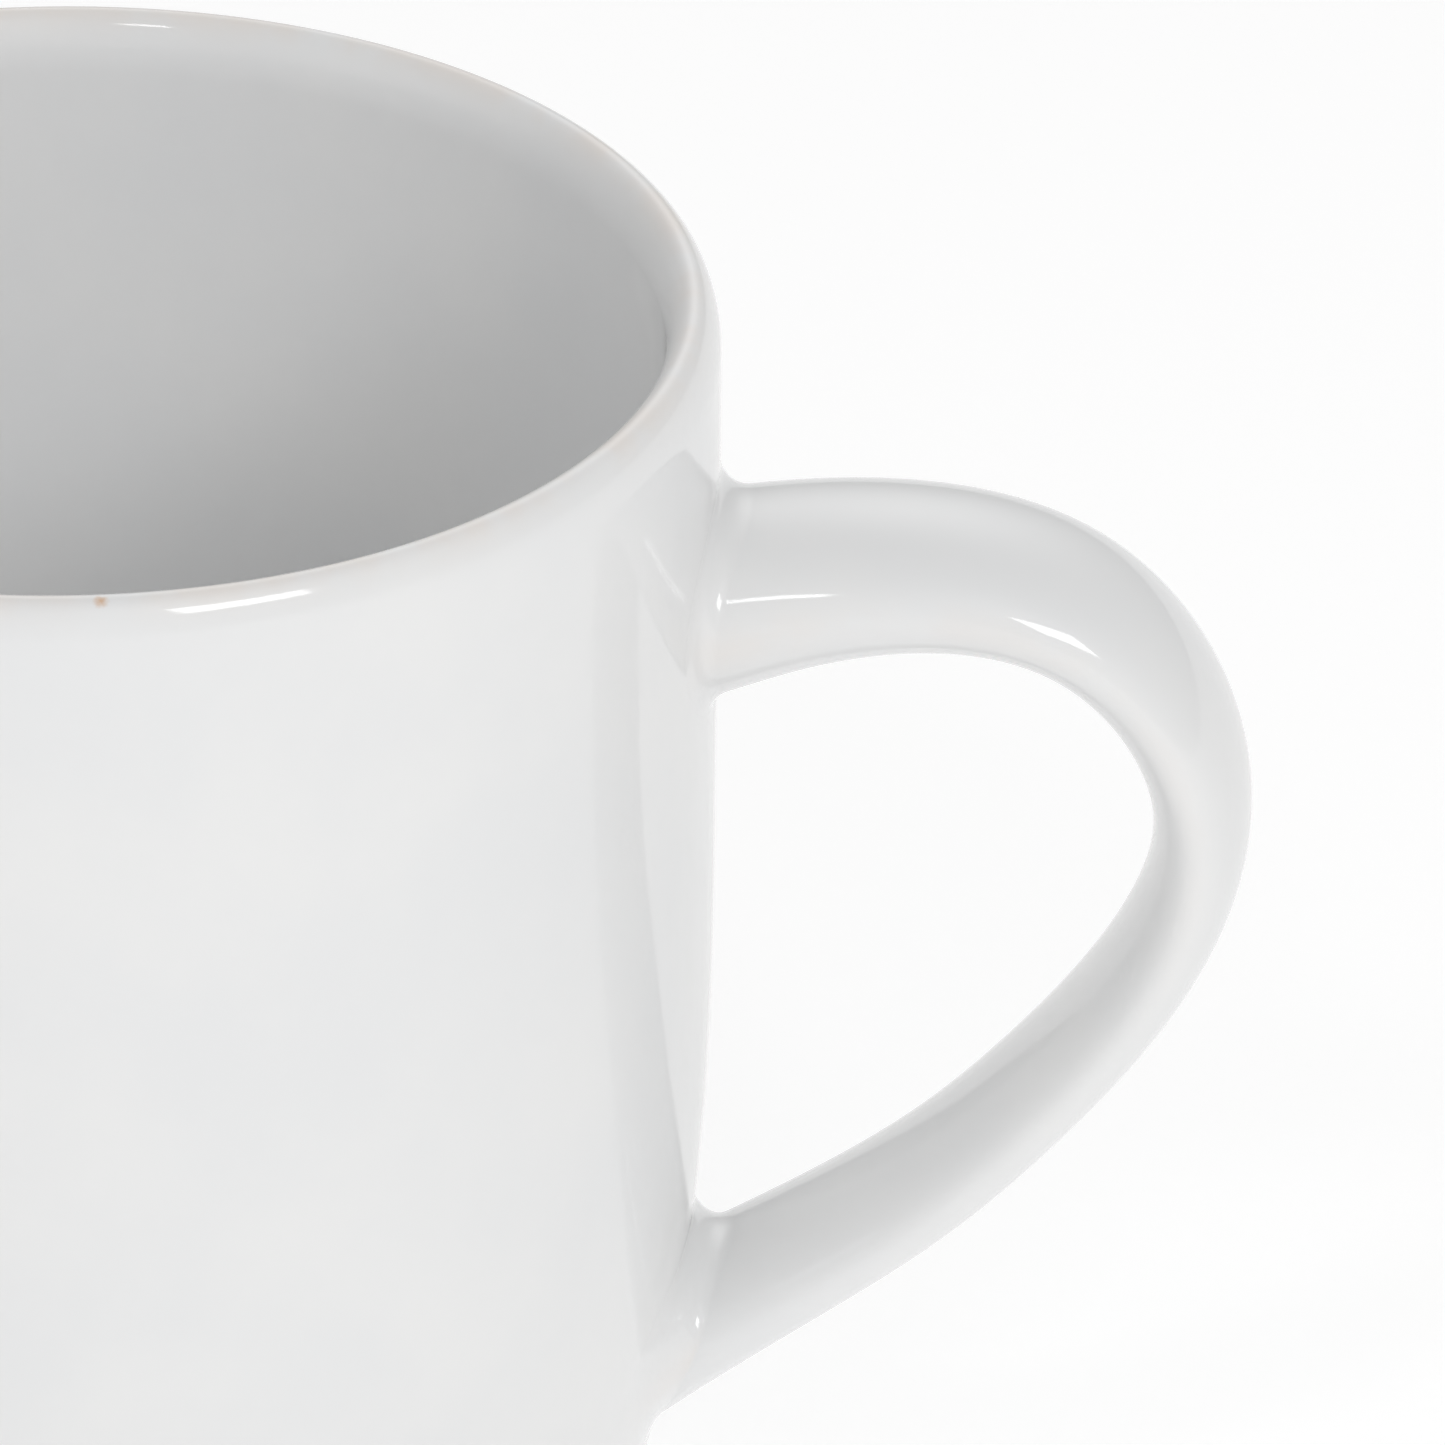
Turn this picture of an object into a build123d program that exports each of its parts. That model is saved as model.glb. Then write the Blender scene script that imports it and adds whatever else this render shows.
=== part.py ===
from build123d import *

import os
from math import cos, radians, sin, tan

# A glazed ceramic mug: a clay cup, a strap handle luted on with slip, and coats of glaze.
#
# Millimetres. The origin is the centre of the foot ring, on the surface that the mug stands on. +Z is up
# and the handle points along +X. Named sizes are those of the finished, glazed mug. A depth of 0 stands
# for a glazed surface, and a depth of glaze for the clay surface beneath it.

# Cup, outside: the side runs from the lip through the waist and the belly to the heel, and each of these
# stands in from the rim by its own amount
mug_height = 95.0
rim_diameter = 82.0
waist_height = 63.0
waist_stand_in = 0.35
belly_height = 37.0
belly_stand_in = 1.2
heel_height = 11.0
heel_stand_in = 6.0
heel_slope = 20.0

# Cup, lip and inside
lip_thickness = 3.4
lip_roll_height = 3.65
wall_thickness = 4.2
floor_thickness = 5.4
inner_corner_radius = 12.0

# Foot ring, which is bare clay, and the recess inside it
foot_stand_in = 11.5
foot_width = 3.2
foot_height = 1.8
foot_edge_radius = 0.6
recess_depth = 1.8

# Coats
glaze = 0.3
slip = 0.5

# Handle: an oval strap, wide across the mug and thin in the handle's own plane
upper_root_drop = 20.15
lower_root_height = 25.4
handle_reach = 30.0
upper_root_width = 16.7
upper_root_thickness = 14.3
grip_width = 13.9
grip_thickness = 5.4
lower_root_width = 14.7
lower_root_thickness = 9.75
upper_root_fillet = 1.8
lower_root_fillet = 1.6

# The strap's centreline, as shares of its reach and of its way down from the upper root to the lower
strap_route = [(0.135, -0.046), (0.74, -0.015), (1.0, 0.257), (0.64, 0.681)]
lower_root_angle = 32.7
# The strap runs on into the cup by this depth, and settles from its roots to its grip by these powers
root_depth = 9.0
width_power = 2
upper_thickness_power = 4.2
lower_thickness_power = 7.5
strap_sections = 15

rim_radius = rim_diameter / 2
waist_radius = rim_radius - waist_stand_in
belly_radius = rim_radius - belly_stand_in
heel_radius = rim_radius - heel_stand_in
crest_radius = rim_radius - lip_thickness / 2
foot_radius = rim_radius - foot_stand_in
recess_radius = foot_radius - glaze - foot_width
floor_height = recess_depth + floor_thickness
upper_root_height = mug_height - upper_root_drop
heel_direction = (-sin(radians(heel_slope)), -cos(radians(heel_slope)))

# Half sections, with radius across and height up, are revolved from the side away from the handle, which
# keeps their seams out of its roots
section_plane = Plane(origin=(0, 0, 0), x_dir=(-1, 0, 0), z_dir=(0, 1, 0))


def lip_arc(depth, start_angle):
    """A quarter of the lip's rounded edge: its outer side from 0 degrees, its inner side from 90."""
    return EllipticalCenterArc(
        (crest_radius, mug_height - lip_roll_height),
        lip_thickness / 2 - depth,
        lip_roll_height - depth,
        start_angle,
    )


def outside_section(depth, bottom):
    """Half section of the cup's outside, solid to the axis, down to the bottom height."""
    with BuildSketch() as section:
        with BuildLine():
            lip = lip_arc(depth, 0)
            side = Spline(
                lip @ 0,
                (waist_radius - depth, waist_height),
                (belly_radius - depth, belly_height),
                (heel_radius - depth, heel_height),
                tangents=[(0, -1), heel_direction],
            )
            heel = TangentArc(side @ 1, (foot_radius - depth, foot_height), tangent=side % 1)
            Polyline(heel @ 1, (foot_radius - depth, bottom), (0, bottom), (0, mug_height - depth), lip @ 1)
        make_face()
    return section.sketch


def cavity_section(depth):
    """Half section of the space inside the cup, run on upwards past the rim."""
    inset = wall_thickness - depth
    corner_radius = inner_corner_radius + depth
    corner_height = floor_height - depth + corner_radius * (1 - sin(radians(heel_slope)))
    corner_flare = (corner_height - heel_height) * tan(radians(heel_slope))
    mouth = mug_height + lip_roll_height
    with BuildSketch() as section:
        with BuildLine():
            lip = lip_arc(depth, 90)
            side = Spline(
                lip @ 1,
                (waist_radius - inset, waist_height),
                (belly_radius - inset, belly_height),
                (heel_radius - inset + corner_flare, corner_height),
                tangents=[(0, -1), heel_direction],
            )
            corner = JernArc(side @ 1, side % 1, corner_radius, heel_slope - 90)
            Polyline(corner @ 1, (0, floor_height - depth), (0, mouth), (crest_radius, mouth), lip @ 0)
        make_face()
    return section.sketch


def strap_size(upper_root, grip, lower_root, way, upper_power, lower_power):
    """A size of the strap at a share of its way: the grip's own, growing towards each root."""
    return grip + (upper_root - grip) * (1 - way) ** upper_power + (lower_root - grip) * way**lower_power


def strap(depth):
    """The handle with both its ends run on into the cup."""
    upper = Vector(rim_radius, 0, upper_root_height)
    lower = Vector(belly_radius, 0, lower_root_height)
    outwards = Vector(1, 0, 0)
    inwards = Vector(-cos(radians(lower_root_angle)), 0, -sin(radians(lower_root_angle)))
    span = upper_root_height - lower_root_height
    route = [
        (rim_radius + handle_reach * out, 0, upper_root_height - span * down) for out, down in strap_route
    ]
    with BuildPart() as body:
        with BuildLine() as line:
            Spline(
                upper - outwards * root_depth,
                *route,
                lower + inwards * root_depth,
                tangents=[outwards, inwards],
            )
        path = line.line
        for step in range(strap_sections):
            way = step / (strap_sections - 1)
            width = strap_size(upper_root_width, grip_width, lower_root_width, way, width_power, width_power)
            thickness = strap_size(
                upper_root_thickness,
                grip_thickness,
                lower_root_thickness,
                way,
                upper_thickness_power,
                lower_thickness_power,
            )
            with BuildSketch(Plane(path @ way, x_dir=(0, 1, 0), z_dir=path % way)):
                Ellipse(width / 2 - depth, thickness / 2 - depth)
        loft()
    return body.part


def outer_form(depth, bottom):
    """The whole outside of the mug as one solid, with the handle's roots rounded into the cup."""
    with BuildPart() as form:
        with BuildSketch(section_plane):
            add(outside_section(depth, bottom))
        revolve(axis=Axis.Z)
        add(strap(depth))
        roots = form.edges(Select.NEW)
        between_roots = (upper_root_height + lower_root_height) / 2
        fillet(roots.filter_by_position(Axis.Z, between_roots, mug_height), upper_root_fillet + depth)
        fillet(roots.filter_by_position(Axis.Z, 0, between_roots), lower_root_fillet + depth)
    return form.part


with BuildPart() as clay_cup:
    with BuildSketch(section_plane):
        add(outside_section(glaze, 0))
    revolve(axis=Axis.Z)

clay_form = outer_form(glaze, 0)

with BuildPart() as cup_body:
    add(clay_cup.part)
    with BuildSketch():
        Circle(recess_radius)
    extrude(amount=recess_depth, mode=Mode.SUBTRACT)
    fillet(cup_body.edges().group_by(Axis.Z)[0], foot_edge_radius)
    with BuildSketch(section_plane):
        add(cavity_section(glaze))
    revolve(axis=Axis.Z, mode=Mode.SUBTRACT)

with BuildPart() as handle:
    add(strap(glaze))
    with BuildSketch(section_plane):
        add(outside_section(glaze - slip, 0))
    revolve(axis=Axis.Z, mode=Mode.SUBTRACT)

with BuildPart() as slip_joints:
    add(clay_form)
    add(handle.part, mode=Mode.SUBTRACT)
    add(clay_cup.part, mode=Mode.SUBTRACT)

lower_joint, upper_joint = slip_joints.part.solids().sort_by(Axis.Z)
with BuildPart() as upper_slip_joint:
    add(upper_joint)

with BuildPart() as lower_slip_joint:
    add(lower_joint)

with BuildPart() as exterior_glaze:
    add(outer_form(0, foot_height))
    add(clay_form, mode=Mode.SUBTRACT)
    with BuildSketch(Plane.XY.offset(waist_height)):
        Circle(crest_radius)
    extrude(amount=mug_height - waist_height, mode=Mode.SUBTRACT)

with BuildPart() as interior_glaze:
    with BuildSketch(section_plane):
        add(cavity_section(glaze))
        add(cavity_section(0), mode=Mode.SUBTRACT)
    revolve(axis=Axis.Z)

with BuildPart() as base_glaze:
    with BuildSketch(Plane.XY.offset(recess_depth - glaze)):
        Circle(recess_radius)
    extrude(amount=glaze)

nodes = {
    "cup_body": cup_body,
    "handle": handle,
    "upper_slip_joint": upper_slip_joint,
    "lower_slip_joint": lower_slip_joint,
    "exterior_glaze": exterior_glaze,
    "interior_glaze": interior_glaze,
    "base_glaze": base_glaze,
}

os.makedirs("parts", exist_ok=True)
for name, node in nodes.items():
    node.part.label = name
    export_step(node.part, f"parts/{name}.step")
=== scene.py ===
"""The looks of the glazed mug: seamless skins of glaze over the CAD clay, a pale studio and the camera.

The shape code works in millimetres, as the CAD does, and turns to metres where a mesh is made.
"""

from math import atan2, cos, pi, radians, sin, tan

import bpy
import numpy as np
from mathutils import Matrix, Vector


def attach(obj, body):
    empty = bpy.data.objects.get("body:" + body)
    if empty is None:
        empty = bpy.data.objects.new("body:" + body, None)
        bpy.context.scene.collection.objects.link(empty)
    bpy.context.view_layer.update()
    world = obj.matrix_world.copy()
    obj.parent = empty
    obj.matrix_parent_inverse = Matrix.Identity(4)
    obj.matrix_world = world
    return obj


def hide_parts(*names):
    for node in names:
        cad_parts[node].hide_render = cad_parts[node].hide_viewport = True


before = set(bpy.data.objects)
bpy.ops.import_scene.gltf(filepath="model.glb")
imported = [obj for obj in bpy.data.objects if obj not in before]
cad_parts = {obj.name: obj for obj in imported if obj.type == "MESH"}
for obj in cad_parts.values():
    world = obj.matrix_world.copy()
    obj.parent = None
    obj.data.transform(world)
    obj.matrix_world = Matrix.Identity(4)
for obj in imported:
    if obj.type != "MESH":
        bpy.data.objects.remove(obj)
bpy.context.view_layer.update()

MM = 0.001

# Cup, the same sizes as in the CAD
mug_height = 95.0
rim_radius = 41.0
waist_height = 63.0
waist_radius = rim_radius - 0.35
belly_height = 37.0
belly_radius = rim_radius - 1.2
heel_height = 11.0
heel_radius = rim_radius - 6.0
heel_slope = radians(20.0)
lip_thickness = 3.4
lip_roll_height = 3.65
wall_thickness = 4.2
inner_corner_radius = 12.0
floor_height = 7.2
foot_radius = rim_radius - 11.5
foot_height = 1.8
recess_radius = foot_radius - 3.5
recess_height = 1.8
glaze = 0.3
crest_radius = rim_radius - lip_thickness / 2

# Handle, the same sizes as in the CAD
upper_root_height = mug_height - 20.15
lower_root_height = 25.4
handle_reach = 30.0
strap_widths = (16.7, 13.9, 14.7)
strap_thicknesses = (14.3, 5.4, 9.75)
width_powers = (2, 2)
thickness_powers = (4.2, 7.5)
strap_route = [(0.135, -0.046), (0.74, -0.015), (1.0, 0.257), (0.64, 0.681)]
lower_root_angle = radians(32.7)
root_depth = 9.0
# Each root's blend: the radius of its rounding, and how much further it runs along the strap and over
# the cup at the root's two sides
upper_blend = 1.8, 0.0, 0.8
lower_blend = 1.7, 1.4, 5.4

# Speeds with which the CAD's splines leave their first point and reach their last
side_speeds = (1.0019, 0.8278)
cavity_speeds = (1.0437, 0.7976)
path_speeds = (1.2598, 1.8024)

# Mesh density
columns = 288
lip_rows = 20
side_rows = 74
heel_rows = 14
strap_columns = 140
strap_rows = 90
fillet_rows = 14
patch_rings = 9
# Windows in the body's grid that the handle's roots fill: first and last row, and columns each way
upper_window = (2, 28)
lower_window = (48, 74)
window_columns = 22


# ---------------------------------------------------------------- curves

def spline(points, start_velocity, end_velocity):
    """Cubic spline through points with the velocities given at its ends, as a function of 0 to 1."""
    points = np.array(points, float)
    knots = np.concatenate([[0], np.cumsum(np.linalg.norm(np.diff(points, axis=0), axis=1))])
    gaps = np.diff(knots)
    count = len(points)
    matrix = np.eye(count)
    right = np.zeros_like(points)
    right[0], right[-1] = start_velocity, end_velocity
    for i in range(1, count - 1):
        matrix[i, i - 1 : i + 2] = gaps[i], 2 * (gaps[i - 1] + gaps[i]), gaps[i - 1]
        before, after = (points[i] - points[i - 1]) / gaps[i - 1], (points[i + 1] - points[i]) / gaps[i]
        right[i] = 3 * (gaps[i] * before + gaps[i - 1] * after)
    slopes = np.linalg.solve(matrix, right)

    def at(share):
        place = np.asarray(share, float) * knots[-1]
        i = np.clip(np.searchsorted(knots, place, side="right") - 1, 0, count - 2)
        gap = gaps[i][:, None]
        u = (place - knots[i])[:, None] / gap
        start = (2 * u**3 - 3 * u**2 + 1) * points[i] + (u**3 - 2 * u**2 + u) * gap * slopes[i]
        return start + (3 * u**2 - 2 * u**3) * points[i + 1] + (u**3 - u**2) * gap * slopes[i + 1]

    return at


def arc(start, heading, radius, turn, steps):
    """Points of a circular arc from start along the unit heading, turning left by the turn."""
    centre = np.array(start) + radius * np.sign(turn) * np.array([-heading[1], heading[0]])
    x, y = np.array(start) - centre
    angles = np.linspace(0, turn, steps)
    c, s = np.cos(angles), np.sin(angles)
    return centre + np.stack([c * x - s * y, s * x + c * y], 1)


def arc_to(start, heading, end, steps):
    """Points of the circular arc that leaves start along the unit heading and passes through end."""
    chord = np.array(end) - start
    turn = 2 * atan2(heading[0] * chord[1] - heading[1] * chord[0], np.dot(heading, chord))
    return arc(start, heading, np.linalg.norm(chord) / (2 * abs(sin(turn / 2))), turn, steps)


def lengths_of(points):
    return np.concatenate([[0], np.cumsum(np.linalg.norm(np.diff(points, axis=0), axis=1))])


def even(points, count):
    """The polyline resampled to count points at even steps of its length."""
    lengths = lengths_of(points)
    steps = np.linspace(0, lengths[-1], count)
    return np.stack([np.interp(steps, lengths, points[:, k]) for k in range(points.shape[1])], 1)


def left_normals(points):
    """Unit directions to the left of a finely divided plane polyline."""
    along = np.gradient(points, axis=0)
    along /= np.linalg.norm(along, axis=1)[:, None]
    return np.stack([-along[:, 1], along[:, 0]], 1)


def unit(vectors):
    return vectors / np.linalg.norm(vectors, axis=-1, keepdims=True)


# ---------------------------------------------------------------- the cup's outline, as radius and height

heel_heading = np.array([-sin(heel_slope), -cos(heel_slope)])


def lip(angles):
    """Points and outward directions of the lip's edge: 0 is its outer side, pi / 2 its crest."""
    half = lip_thickness / 2
    centre = np.array([crest_radius, mug_height - lip_roll_height])
    points = centre + np.stack([half * np.cos(angles), lip_roll_height * np.sin(angles)], 1)
    return points, unit(np.stack([np.cos(angles) / half, np.sin(angles) / lip_roll_height], 1))


side_curve = spline(
    [
        (rim_radius, mug_height - lip_roll_height),
        (waist_radius, waist_height),
        (belly_radius, belly_height),
        (heel_radius, heel_height),
    ],
    np.array([0, -1]) * side_speeds[0],
    heel_heading * side_speeds[1],
)
side_dense = side_curve(np.linspace(0, 1, 8001))[::-1]
side_dense_normals = -left_normals(side_dense)


def side(heights):
    """Radii, and the outward directions' two parts, of the cup's outside at heights on its side."""
    values = side_dense[:, 0], side_dense_normals[:, 0], side_dense_normals[:, 1]
    return [np.interp(heights, side_dense[:, 1], value) for value in values]


def around(profile, normals, angles):
    """A profile and its directions, turned round the mug's axis by the angles."""
    c, s = np.cos(angles), np.sin(angles)

    def turned(pairs):
        across, up = pairs[..., 0], pairs[..., 1]
        return np.stack([across * c, across * s, up + 0 * c], -1)

    return turned(profile), turned(normals)


def on_side(arcs, heights):
    """Points and directions on the cup's side, from lengths round the rim and heights."""
    radii, across, up = side(heights)
    return around(np.stack([radii, heights], -1), np.stack([across, up], -1), arcs / rim_radius)


def from_side(points):
    """Distances from the cup's side, and the side's outward directions nearest to the points."""
    distance_out = np.hypot(points[..., 0], points[..., 1])
    heights = points[..., 2].copy()
    for _ in range(8):
        radii, across, up = side(heights)
        heights += ((points[..., 2] - heights) * across - (distance_out - radii) * up) * across
    radii, across, up = side(heights)
    distances = (distance_out - radii) * across + (points[..., 2] - heights) * up
    sideways = points[..., :2] / distance_out[..., None]
    return distances, np.concatenate([sideways * across[..., None], up[..., None]], -1)


# ---------------------------------------------------------------- the handle's strap

span = upper_root_height - lower_root_height
inwards = np.array([-cos(lower_root_angle), -sin(lower_root_angle)])
path_curve = spline(
    [
        (rim_radius - root_depth, upper_root_height),
        *[(rim_radius + handle_reach * out, upper_root_height - span * down) for out, down in strap_route],
        (belly_radius + inwards[0] * root_depth, lower_root_height + inwards[1] * root_depth),
    ],
    np.array([1, 0]) * path_speeds[0],
    inwards * path_speeds[1],
)
path_dense = even(path_curve(np.linspace(0, 1, 40001)), 20001)
path_dense_normals = left_normals(path_dense)
path_shares = np.linspace(0, 1, len(path_dense))


def strap_half(sizes, powers, way):
    upper, grip, lower = sizes
    return (grip + (upper - grip) * (1 - way) ** powers[0] + (lower - grip) * way ** powers[1]) / 2


def strap_points(way, angle):
    """Points of the strap's surface at a share of its way and an angle round its oval section."""
    centre = np.stack([np.interp(way, path_shares, path_dense[:, k]) for k in (0, 1)], -1)
    normal = unit(np.stack([np.interp(way, path_shares, path_dense_normals[:, k]) for k in (0, 1)], -1))
    across = strap_half(strap_widths, width_powers, way) * np.cos(angle)
    out = centre + normal * (strap_half(strap_thicknesses, thickness_powers, way) * np.sin(angle))[..., None]
    return np.stack([out[..., 0], across, out[..., 1]], -1)


def strap_surface(way, angle):
    """Points of the strap's surface and its outward directions there."""
    step = 0.001
    along = strap_points(way + step, angle) - strap_points(way - step, angle)
    round_it = strap_points(way, angle + step) - strap_points(way, angle - step)
    return strap_points(way, angle), unit(np.cross(round_it, along))


strap_angles = np.arange(strap_columns) * 2 * pi / strap_columns


def blend(sizes, low, high):
    """The concave blend of the strap's root and the cup, from the strap to the cup.

    The strap's lines meet the cup between shares of way low, inside it, and high, outside it. The result
    is the share of way where each line leaves the blend, and rows of the blend's points and directions.
    """
    radius, along_more, over_more = sizes
    sides = np.cos(strap_angles) ** 4
    inside, outside = np.full(strap_columns, low), np.full(strap_columns, high)
    for _ in range(40):
        way = (inside + outside) / 2
        clear = from_side(strap_points(way, strap_angles))[0] > 0
        inside, outside = np.where(clear, inside, way), np.where(clear, way, outside)
    corners = strap_points(way, strap_angles)
    out = np.sign(high - low) / lengths_of(path_dense)[-1]
    nearby, strap_normals = strap_surface(way + out, strap_angles)
    cup_normals = from_side(corners)[1]
    away = unit(strap_normals - (strap_normals * cup_normals).sum(-1, keepdims=True) * cup_normals)
    bend = pi - np.arccos((unit(nearby - corners) * away).sum(-1))
    tangent = radius * np.tan(bend / 2)
    pull = (4 / 3 * np.tan(bend / 4) / np.tan(bend / 2))[:, None]

    leaving = way + out * (tangent + along_more * sides)
    starts, start_normals = strap_surface(leaving, strap_angles)
    start_arms = corners - starts
    turn = np.arctan2(corners[:, 1], corners[:, 0])
    round_cup = np.stack([-np.sin(turn), np.cos(turn), 0 * turn], -1)
    reach = tangent + over_more * sides
    arcs = turn * rim_radius + reach * (away * round_cup).sum(-1)
    ends, end_normals = on_side(arcs, corners[:, 2] + reach * away[:, 2])
    end_arms = corners - ends
    end_arms -= (end_arms * end_normals).sum(-1, keepdims=True) * end_normals

    t = np.linspace(0, 1, fillet_rows + 1)[:, None, None]
    first, second = starts + pull * start_arms, ends + pull * end_arms
    points = (1 - t) ** 3 * starts + 3 * (1 - t) ** 2 * t * first + 3 * (1 - t) * t**2 * second + t**3 * ends
    across = np.roll(points, -1, 1) - np.roll(points, 1, 1)
    towards = (1 - t) ** 2 * (first - starts) + 2 * (1 - t) * t * (second - first) + t**2 * (ends - second)
    normals = unit(np.cross(across, towards))
    normals *= np.sign((normals[0] * start_normals).sum())
    normals[0], normals[-1] = start_normals, end_normals
    return leaving, points, normals


# ---------------------------------------------------------------- skins

class Skin:
    """Points with their outward directions, how thin the glaze is there, and the faces between them."""

    def __init__(self):
        self.points, self.normals, self.thinness, self.faces, self.count = [], [], [], [], 0

    def add(self, points, normals, thinness=0.0):
        """Adds a block of points and gives the block of their numbers."""
        shape = points.shape[:-1]
        self.points.append(points.reshape(-1, 3))
        self.normals.append(np.broadcast_to(normals, points.shape).reshape(-1, 3))
        self.thinness.append(np.broadcast_to(thinness, shape).reshape(-1))
        numbers = self.count + np.arange(np.prod(shape)).reshape(shape)
        self.count += numbers.size
        return numbers

    def grid(self, numbers, closed=True, keep=None):
        """Adds the faces of a block of point numbers, closed round its second way."""
        if closed:
            numbers = np.concatenate([numbers, numbers[:, :1]], 1)
        corners = [numbers[:-1, :-1], numbers[1:, :-1], numbers[1:, 1:], numbers[:-1, 1:]]
        faces = np.stack(corners, -1)
        self.faces.append(faces.reshape(-1, 4) if keep is None else faces[keep])

    def cap(self, ring, inner_radius, height, normal):
        """Fills a ring of all the columns with a flat disc of squares."""
        half = columns // 8
        u, v = np.meshgrid(np.arange(-half, half + 1), np.arange(-half, half + 1), indexing="ij")
        size = np.maximum(abs(u), abs(v))
        wide = abs(u) >= abs(v)
        share = np.where(wide, v / np.where(u == 0, 1, u), u / np.where(v == 0, 1, v)) * pi / 4
        angle = np.where(wide, np.where(u < 0, pi, 0) + share, np.where(v < 0, -pi / 2, pi / 2) - share)
        radius = inner_radius * size / half
        inside = size < half
        numbers = np.empty(u.shape, int)
        points = np.stack([radius * np.cos(angle), radius * np.sin(angle), 0 * radius + height], -1)
        numbers[inside] = self.add(points[inside], np.array(normal, float))
        edge = ~inside
        numbers[edge] = ring[np.rint(angle[edge] / (2 * pi / columns)).astype(int) % columns]
        self.grid(numbers, closed=False)

    def arrays(self):
        """The points that have faces, their directions and thinness, and the faces, all turned outwards."""
        used, faces = np.unique(np.concatenate(self.faces), return_inverse=True)
        faces = faces.reshape(-1, 4)
        points, normals = np.concatenate(self.points)[used], np.concatenate(self.normals)[used]
        a, b, c, d = (points[faces[:, k]] for k in range(4))
        facing = (np.cross(c - a, d - b) * normals[faces].sum(1)).sum(1)
        faces = np.where((facing < 0)[:, None], faces[:, ::-1], faces)
        return points, normals, np.concatenate(self.thinness)[used], faces


def coat(name, skin, back, material):
    """Object of a skin and of its back, joined along their open edges into one closed coat.

    back gives the points of the coat's other side from the skin's points and directions.
    """
    points, normals, thinness, faces = skin.arrays()
    count = len(points)
    edges = np.concatenate([faces[:, [k, (k + 1) % 4]] for k in range(4)])
    keys, reverse = edges[:, 0] * count + edges[:, 1], edges[:, 1] * count + edges[:, 0]
    open_edges = edges[~np.isin(keys, reverse)]
    first, second = open_edges.T
    walls = np.stack([second, first, first + count, second + count], 1)
    vertices = np.concatenate([points, back(points, normals)])
    all_faces = np.concatenate([faces, faces[:, ::-1] + count, walls])
    wall_normals = unit(
        np.cross(vertices[walls[:, 2]] - vertices[walls[:, 0]], vertices[walls[:, 3]] - vertices[walls[:, 1]])
    )
    corner_normals = np.concatenate(
        [normals[faces], -normals[faces[:, ::-1]], np.repeat(wall_normals[:, None], 4, 1)]
    )
    mesh = bpy.data.meshes.new(name)
    mesh.vertices.add(len(vertices))
    mesh.vertices.foreach_set("co", (vertices * MM).ravel())
    mesh.loops.add(all_faces.size)
    mesh.loops.foreach_set("vertex_index", all_faces.ravel())
    mesh.polygons.add(len(all_faces))
    mesh.polygons.foreach_set("loop_start", np.arange(len(all_faces)) * 4)
    mesh.update(calc_edges=True)
    mesh.normals_split_custom_set(corner_normals.reshape(-1, 3))
    layer = mesh.attributes.new("thin_glaze", "FLOAT", "POINT")
    layer.data.foreach_set("value", np.concatenate([thinness, thinness]))
    mesh.materials.append(material)
    piece = bpy.data.objects.new(name, mesh)
    bpy.context.scene.collection.objects.link(piece)
    return piece


column_angles = np.arange(columns) * 2 * pi / columns


def crest_thinness(angles):
    """Glaze runs thin on the lip: full at its crest, none at its two sides."""
    return np.exp(-(((angles - pi / 2) / 0.6) ** 2))


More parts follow.
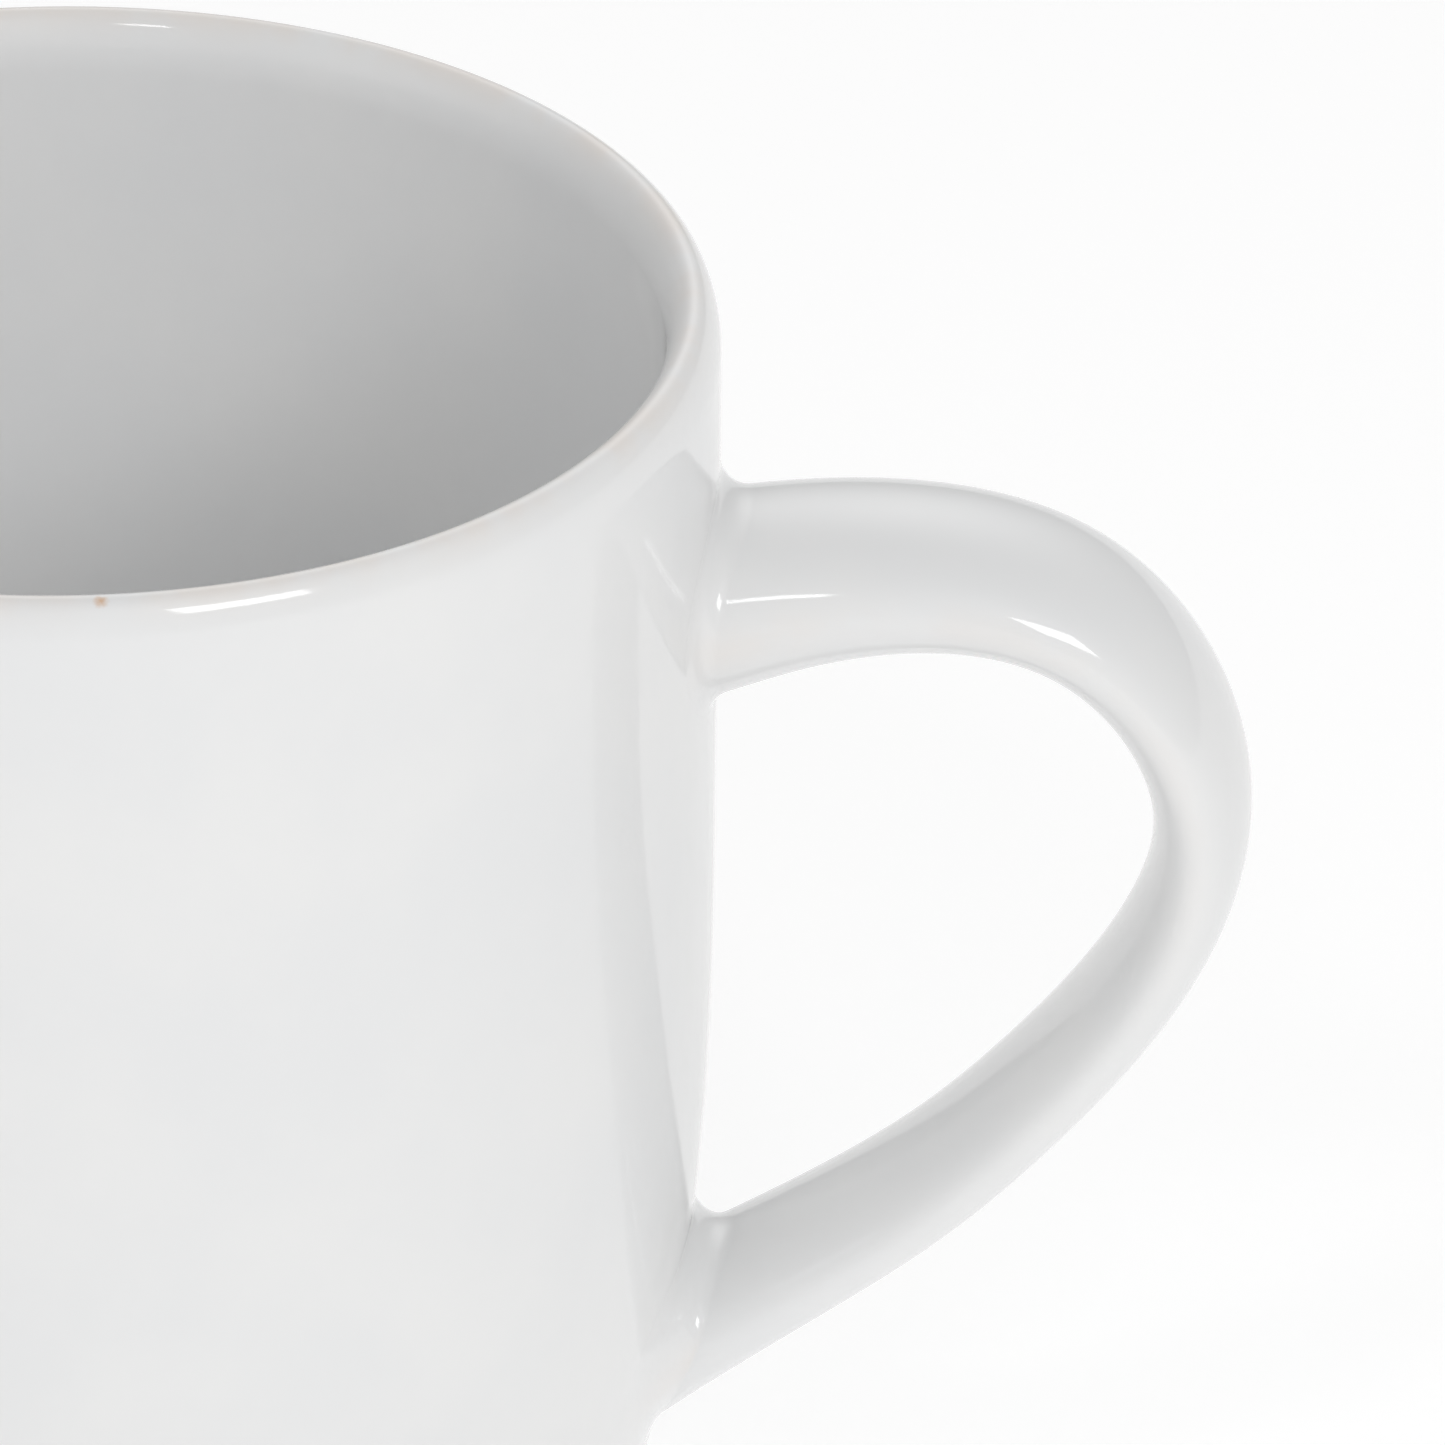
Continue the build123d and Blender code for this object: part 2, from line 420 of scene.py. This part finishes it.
def exterior_skin():
    skin = Skin()
    lip_angles = np.linspace(pi / 2, 0, lip_rows + 1)
    lip_points, lip_normals = lip(lip_angles)
    heights = np.linspace(mug_height - lip_roll_height, heel_height, side_rows + 1)
    radii, across, up = side(heights)
    heel_dense = arc_to((heel_radius, heel_height), heel_heading, (foot_radius, foot_height), 2001)
    pick = np.linspace(0, 2000, heel_rows + 1).astype(int)[1:]
    profile = np.concatenate([lip_points[:-1], np.stack([radii, heights], 1), heel_dense[pick]])
    normals = np.concatenate([lip_normals[:-1], np.stack([across, up], 1), left_normals(heel_dense)[pick]])
    thinness = np.concatenate([crest_thinness(lip_angles[:-1]), np.zeros(side_rows + 1 + heel_rows)])
    points, directions = around(profile[:, None], normals[:, None], column_angles)
    body = skin.add(points, directions, thinness[:, None])

    upper_way, *upper = blend(upper_blend, 0.03, 0.3)
    lower_way, *lower = blend(lower_blend, 0.97, 0.7)
    shares = np.linspace(0, 1, strap_rows + 1)[:, None]
    points, directions = strap_surface(upper_way + (lower_way - upper_way) * shares, strap_angles[None])
    ridge = np.abs(np.cos(strap_angles)) ** 24
    strap = skin.add(points, directions, 0.5 * ridge * (1 - shares) ** 2)
    skin.grid(strap)

    keep = np.ones((len(profile) - 1, columns), bool)
    for (first, last), (points, directions), end in [
        (upper_window, upper, strap[0]),
        (lower_window, lower, strap[-1]),
    ]:
        rows = skin.add(points[1:], directions[1:], 0.5 * ridge * np.linspace(1, 0, fillet_rows)[:, None])
        skin.grid(np.concatenate([end[None], rows]))
        loop = np.stack([np.arctan2(points[-1, :, 1], points[-1, :, 0]) * rim_radius, points[-1, :, 2]], 1)

        top, bottom = lip_rows + first, lip_rows + last
        left, right = -window_columns, window_columns
        cells = [(top, column) for column in range(left, right)]
        cells += [(row, right) for row in range(top, bottom)]
        cells += [(bottom, column) for column in range(right, left, -1)]
        cells += [(row, left) for row in range(bottom, top, -1)]
        keep[top:bottom, :right] = False
        keep[top:bottom, left:] = False
        frame_arcs = np.array([column * 2 * pi / columns * rim_radius for _, column in cells])
        frame_edge = np.stack([frame_arcs, profile[[row for row, _ in cells], 1]], 1)
        numbers = np.array([body[row, column] for row, column in cells])
        ring = np.arange(len(cells))
        orders = [np.roll(ring[::way], shift) for way in (1, -1) for shift in range(len(cells))]
        order = min(orders, key=lambda order: ((frame_edge[order] - loop) ** 2).sum())
        frame_edge, numbers = frame_edge[order], numbers[order]
        shares_out = np.linspace(0, 1, patch_rings + 1)[1:-1, None, None]
        flat = loop + (frame_edge - loop) * shares_out
        rings = skin.add(*on_side(flat[..., 0], flat[..., 1]))
        skin.grid(np.concatenate([rows[-1:], rings, numbers[None]]))
    skin.grid(body, keep=keep)
    return skin


def interior_skin():
    skin = Skin()
    lip_angles = np.linspace(pi / 2, pi, lip_rows + 1)
    lip_points, lip_normals = lip(lip_angles)
    corner_height = floor_height + inner_corner_radius * (1 - sin(heel_slope))
    corner_flare = (corner_height - heel_height) * tan(heel_slope)
    curve = spline(
        [
            (crest_radius - lip_thickness / 2, mug_height - lip_roll_height),
            (waist_radius - wall_thickness, waist_height),
            (belly_radius - wall_thickness, belly_height),
            (heel_radius - wall_thickness + corner_flare, corner_height),
        ],
        np.array([0, -1]) * cavity_speeds[0],
        heel_heading * cavity_speeds[1],
    )
    wall_dense = curve(np.linspace(0, 1, 6001))
    corner_dense = arc(wall_dense[-1], heel_heading, inner_corner_radius, heel_slope - pi / 2, 2001)
    wall_pick = np.linspace(0, 6000, side_rows + 1).astype(int)
    corner_pick = np.linspace(0, 2000, 25).astype(int)[1:]
    floor_radii = np.linspace(corner_dense[-1, 0], 12.0, 10)[1:]
    floor_line = np.stack([floor_radii, np.full_like(floor_radii, floor_height)], 1)
    profile = np.concatenate([lip_points[:-1], wall_dense[wall_pick], corner_dense[corner_pick], floor_line])
    normals = np.concatenate(
        [
            lip_normals[:-1],
            -left_normals(wall_dense)[wall_pick],
            -left_normals(corner_dense)[corner_pick],
            np.tile([0.0, 1.0], (len(floor_line), 1)),
        ]
    )
    thinness = np.zeros(len(profile))
    thinness[:lip_rows] = crest_thinness(lip_angles[:-1])
    points, directions = around(profile[:, None], normals[:, None], column_angles)
    rows = skin.add(points, directions, thinness[:, None])
    skin.grid(rows)
    skin.cap(rows[-1], 12.0, floor_height, (0, 0, 1))
    return skin


def base_skin():
    """The glaze under the cup, inside the foot ring, drawn up a little where it meets the ring."""
    skin = Skin()
    pool = 0.9
    bend = np.linspace(0, pi / 2, 13)
    rim = np.stack([np.sin(bend), np.cos(bend)], 1)
    edge = rim[::-1] * pool + (recess_radius - pool, recess_height - glaze - pool)
    flat_radii = np.linspace(recess_radius - pool, 14.0, 12)[1:]
    flat_line = np.stack([flat_radii, np.full_like(flat_radii, recess_height - glaze)], 1)
    profile = np.concatenate([edge, flat_line])
    normals = np.concatenate([-rim[::-1], np.tile([0.0, -1.0], (len(flat_line), 1))])
    points, directions = around(profile[:, None], normals[:, None], column_angles)
    rows = skin.add(points, directions)
    skin.grid(rows)
    skin.cap(rows[-1], 14.0, recess_height - glaze, (0, 0, -1))
    return skin


def beneath(points, normals):
    """The clay's surface under a glazed one. At the foot the coat keeps its width to its very edge."""
    flat = unit(normals * (1, 1, 0) + (0, 0, 1e-9))
    at_foot = (np.abs(points[:, 2] - foot_height) < 1e-6)[:, None]
    return points - glaze * np.where(at_foot, flat, normals)


def against_recess(points, normals):
    """The clay of the recess: its ceiling and, at the very edge, its wall."""
    backs = points.copy()
    backs[:, 2] = recess_height
    radii = np.hypot(points[:, 0], points[:, 1])
    at_wall = radii > recess_radius - 1e-6
    backs[at_wall] = points[at_wall] + (0, 0, 0.02)
    return backs


# ---------------------------------------------------------------- materials

class Nodes:
    """Short names for the nodes of one material."""

    def __init__(self, name):
        self.material = bpy.data.materials.new(name)
        self.material.use_nodes = True
        self.tree = self.material.node_tree
        self.shader = self.tree.nodes["Principled BSDF"]

    def node(self, kind, inputs=None, **settings):
        """A node with settings as attributes, and inputs by name or number, each a value or a socket."""
        made = self.tree.nodes.new(kind)
        for key, value in settings.items():
            setattr(made, key, value)
        for key, value in (inputs or {}).items():
            self.put(value, made.inputs[key])
        return made

    def put(self, value, socket):
        if isinstance(value, bpy.types.NodeSocket):
            self.tree.links.new(value, socket)
        else:
            socket.default_value = value

    def maths(self, operation, *values, clamp=False):
        inputs = dict(enumerate(values))
        return self.node("ShaderNodeMath", inputs, operation=operation, use_clamp=clamp).outputs[0]

    def vector_maths(self, operation, first, second=(0.0, 0.0, 0.0)):
        return self.node("ShaderNodeVectorMath", {0: first, 1: second}, operation=operation).outputs

    def noise(self, vector, scale, detail=2.0, roughness=0.5):
        inputs = {"Vector": vector, "Scale": scale, "Detail": detail, "Roughness": roughness}
        return self.node("ShaderNodeTexNoise", inputs).outputs["Fac"]

    def ramp(self, value, low, high):
        """0 at low, 1 at high, smoothly between."""
        inputs = {"Value": value, "From Min": low, "From Max": high}
        return self.node("ShaderNodeMapRange", inputs, interpolation_type="SMOOTHSTEP").outputs[0]

    def mix(self, share, first, second):
        inputs = {0: share, 6: first, 7: second}
        return self.node("ShaderNodeMix", inputs, data_type="RGBA").outputs[2]


def glaze_material(name, painted_light_factor):
    """Glossy white glaze: thin and warm on edges, faintly mottled, with sparse iron specks and soft ripples.

    Inwards from the lip's crest its colour changes, over 3 mm, to its colour times the factor given: painted
    light, a lighter copy of the same glaze for the cup's inside.
    """
    n = Nodes(name)
    place = n.node("ShaderNodeTexCoord").outputs["Object"]
    thin = n.node("ShaderNodeAttribute", attribute_name="thin_glaze").outputs["Fac"]

    mottle = n.noise(place, 55.0, 4.0, 0.55)
    colour = n.mix(n.ramp(mottle, 0.3, 0.7), (0.752, 0.756, 0.759, 1), (0.776, 0.776, 0.773, 1))
    # Painted light: from the lip's crest inwards, over 3 mm, the colour is multiplied by the factor, so the
    # cup's inside is painted lighter than the outside though the glaze is the same
    flat = n.vector_maths("MULTIPLY", place, (1.0, 1.0, 0.0))["Vector"]
    from_axis = n.vector_maths("LENGTH", flat)["Value"]
    painted_light_reach = n.ramp(from_axis, crest_radius * MM, (crest_radius - 3.0) * MM)
    inner = n.vector_maths("MULTIPLY", colour, [painted_light_factor] * 3)["Vector"]
    colour = n.mix(painted_light_reach, colour, inner)
    thin_spread = n.maths("MULTIPLY", thin, n.ramp(n.noise(place, 190.0, 3.0), 0.28, 0.62), clamp=True)
    colour = n.mix(n.maths("MULTIPLY", thin_spread, 0.4), colour, (0.76, 0.66, 0.58, 1))

    cells = n.node("ShaderNodeTexVoronoi", {"Vector": place, "Scale": 105.0, "Randomness": 1.0})
    pick = n.node("ShaderNodeSeparateColor", {0: cells.outputs["Color"]})
    chosen = n.maths("GREATER_THAN", pick.outputs[0], 0.86)
    size = n.maths("MULTIPLY_ADD", pick.outputs[1], 0.016, 0.010)
    near = n.maths("SUBTRACT", 1.0, n.maths("DIVIDE", cells.outputs["Distance"], size), clamp=True)
    speck = n.maths("MULTIPLY", chosen, n.ramp(near, 0.0, 0.5))
    colour = n.mix(n.maths("MULTIPLY", speck, 0.62), colour, (0.20, 0.17, 0.14, 1))

    stain_place = lip_speck_place()
    gap = n.vector_maths("DISTANCE", place, stain_place)["Value"]
    ragged = n.maths("MULTIPLY_ADD", n.noise(place, 2600.0, 2.0), 0.0005, gap)
    stain = n.maths("SUBTRACT", 1.0, n.ramp(ragged, 0.00020, 0.00085))
    colour = n.mix(n.maths("MULTIPLY", stain, 0.8), colour, (0.60, 0.34, 0.16, 1))
    n.put(colour, n.shader.inputs["Base Color"])

    gloss = n.ramp(n.noise(place, 140.0, 3.0), 0.3, 0.7)
    n.put(n.maths("MULTIPLY_ADD", gloss, 0.03, 0.055), n.shader.inputs["Roughness"])
    n.shader.inputs["IOR"].default_value = 1.5

    ripples = n.maths("MULTIPLY_ADD", n.noise(place, 48.0, 2.0), 1.0, 0.0)
    ripples = n.maths("MULTIPLY_ADD", n.noise(place, 420.0, 2.0), 0.035, ripples)
    bump = n.node("ShaderNodeBump", {"Height": ripples, "Strength": 1.0, "Distance": 0.00012})
    n.put(bump.outputs[0], n.shader.inputs["Normal"])
    return n.material


def clay_material():
    """Fine pale clay, unglazed: matt, grainy and faintly speckled."""
    n = Nodes("bare_clay")
    place = n.node("ShaderNodeTexCoord").outputs["Object"]
    cloud = n.ramp(n.noise(place, 90.0, 4.0), 0.35, 0.65)
    colour = n.mix(cloud, (0.60, 0.52, 0.42, 1), (0.68, 0.61, 0.52, 1))
    grain = n.noise(place, 2400.0, 3.0, 0.6)
    colour = n.mix(n.ramp(grain, 0.62, 0.74), colour, (0.36, 0.27, 0.19, 1))
    n.put(colour, n.shader.inputs["Base Color"])
    n.put(n.maths("MULTIPLY_ADD", grain, 0.2, 0.72), n.shader.inputs["Roughness"])
    bump = n.node("ShaderNodeBump", {"Height": grain, "Strength": 0.6, "Distance": 0.00008})
    n.put(bump.outputs[0], n.shader.inputs["Normal"])
    return n.material


def lip_speck_place():
    """Where the one iron stain sits: on the crest of the lip, to the front, away from the handle."""
    points, _ = lip(np.array([radians(75)]))
    angle = radians(-81.5)
    return (points[0, 0] * cos(angle) * MM, points[0, 0] * sin(angle) * MM, points[0, 1] * MM)


def floor_material():
    n = Nodes("studio_floor")
    n.shader.inputs["Base Color"].default_value = (0.82, 0.82, 0.82, 1)
    n.shader.inputs["Roughness"].default_value = 0.9
    n.shader.inputs["Specular IOR Level"].default_value = 0.1
    n.shader.inputs["Emission Color"].default_value = (1, 1, 1, 1)
    n.shader.inputs["Emission Strength"].default_value = 0.31
    return n.material


# ---------------------------------------------------------------- the mug

outer_glaze = glaze_material("white_glaze", 1.0)
# Painted light: the inside of the cup gets the same glaze painted 1.12 times lighter, in place of light that
# the inside lacks
painted_lighter_inner_glaze = glaze_material("white_glaze_painted_lighter_inside", 1.12)
bare_clay = clay_material()

for name, skin, back, finish, node in [
    ("mug_exterior_glaze", exterior_skin(), beneath, outer_glaze, "exterior_glaze"),
    ("mug_interior_glaze", interior_skin(), beneath, painted_lighter_inner_glaze, "interior_glaze"),
    ("mug_base_glaze", base_skin(), against_recess, outer_glaze, "base_glaze"),
]:
    piece = coat(name, skin, back, finish)
    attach(piece, "root")
    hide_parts(node)

for node in ("cup_body", "handle", "upper_slip_joint", "lower_slip_joint"):
    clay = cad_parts[node]
    clay.data.materials.clear()
    clay.data.materials.append(bare_clay)


# ---------------------------------------------------------------- the studio

floor_mesh = bpy.data.meshes.new("studio_floor")
half = 30.0
floor_corners = [(-half, -half, 0), (half, -half, 0), (half, half, 0), (-half, half, 0)]
floor_mesh.from_pydata(floor_corners, [], [(0, 1, 2, 3)])
floor_mesh.materials.append(floor_material())
floor = bpy.data.objects.new("studio_floor", floor_mesh)
bpy.context.scene.collection.objects.link(floor)


def direction(azimuth, elevation):
    """Azimuth 0 is the photograph's own side, -Y, and 90 is +X."""
    a, e = radians(azimuth), radians(elevation)
    return Vector((sin(a) * cos(e), -cos(a) * cos(e), sin(e)))


def soft_box(name, azimuth, elevation, distance, width, depth, radiance):
    """A rectangular light aimed at the mug, of a set radiance, that no camera sees."""
    light = bpy.data.lights.new(name, "AREA")
    light.shape = "RECTANGLE"
    light.size, light.size_y = width, depth
    light.energy = radiance * pi * width * depth
    lamp = bpy.data.objects.new(name, light)
    towards = direction(azimuth, elevation)
    target = Vector((0, 0, mug_height * MM / 2))
    lamp.location = target + towards * distance
    lamp.rotation_euler = towards.to_track_quat("Z", "Y").to_euler()
    lamp.visible_camera = False
    bpy.context.scene.collection.objects.link(lamp)


soft_box("key_box", 37.0, 32.0, 1.5, 0.55, 0.34, 8.0)
soft_box("small_box", -14.0, 45.0, 1.5, 0.20, 0.12, 9.0)

world = bpy.data.worlds.new("studio")
world.use_nodes = True
sky = world.node_tree
towards = sky.nodes.new("ShaderNodeTexCoord").outputs["Generated"]


def sky_maths(operation, *values):
    made = sky.nodes.new("ShaderNodeMath")
    made.operation = operation
    for socket, value in zip(made.inputs, values):
        if isinstance(value, bpy.types.NodeSocket):
            sky.links.new(value, socket)
        else:
            socket.default_value = value
    return made.outputs[0]


# An even pale room, with broad soft glows given by azimuth, elevation, tightness and radiance
total = 0.50
for azimuth, elevation, power, radiance in [
    (0.0, 10.0, 8.0, 0.35),
    (-60.0, 10.0, 8.0, 0.50),
    (30.0, 42.0, 14.0, 0.6),
    (180.0, 38.0, 14.0, 1.5),
]:
    facing = sky.nodes.new("ShaderNodeVectorMath")
    facing.operation = "DOT_PRODUCT"
    sky.links.new(towards, facing.inputs[0])
    facing.inputs[1].default_value = direction(azimuth, elevation)
    glow = sky_maths("POWER", sky_maths("MAXIMUM", facing.outputs["Value"], 0.0), power)
    total = sky_maths("MULTIPLY_ADD", glow, radiance, total)
background = sky.nodes["Background"]
background.inputs["Color"].default_value = (1, 1, 1, 1)
sky.links.new(total, background.inputs["Strength"])
bpy.context.scene.world = world
bpy.context.scene.view_settings.view_transform = "Standard"

# The camera stands 2.2 m from the centre of the rim, above its front, and looks a little past it
camera_data = bpy.data.cameras.new("camera")
camera_data.sensor_width = 36.0
camera_data.lens = 887.7
camera_data.clip_start, camera_data.clip_end = 0.05, 100.0
camera = bpy.data.objects.new("camera", camera_data)
turn_of_handle, elevation, pitch, yaw, range_to_rim = radians(5.0), 0.480932, 0.492946, 0.0210516, 2.2
place = Vector((0, -range_to_rim * cos(elevation), range_to_rim * sin(elevation)))
look = Vector((sin(yaw) * cos(pitch), cos(yaw) * cos(pitch), -sin(pitch)))
to_model = Matrix.Rotation(turn_of_handle, 3, "Z")
camera.location = to_model @ place + Vector((0, 0, mug_height * MM))
camera.rotation_euler = (to_model @ look).to_track_quat("-Z", "Y").to_euler()
bpy.context.scene.collection.objects.link(camera)
bpy.context.scene.camera = camera
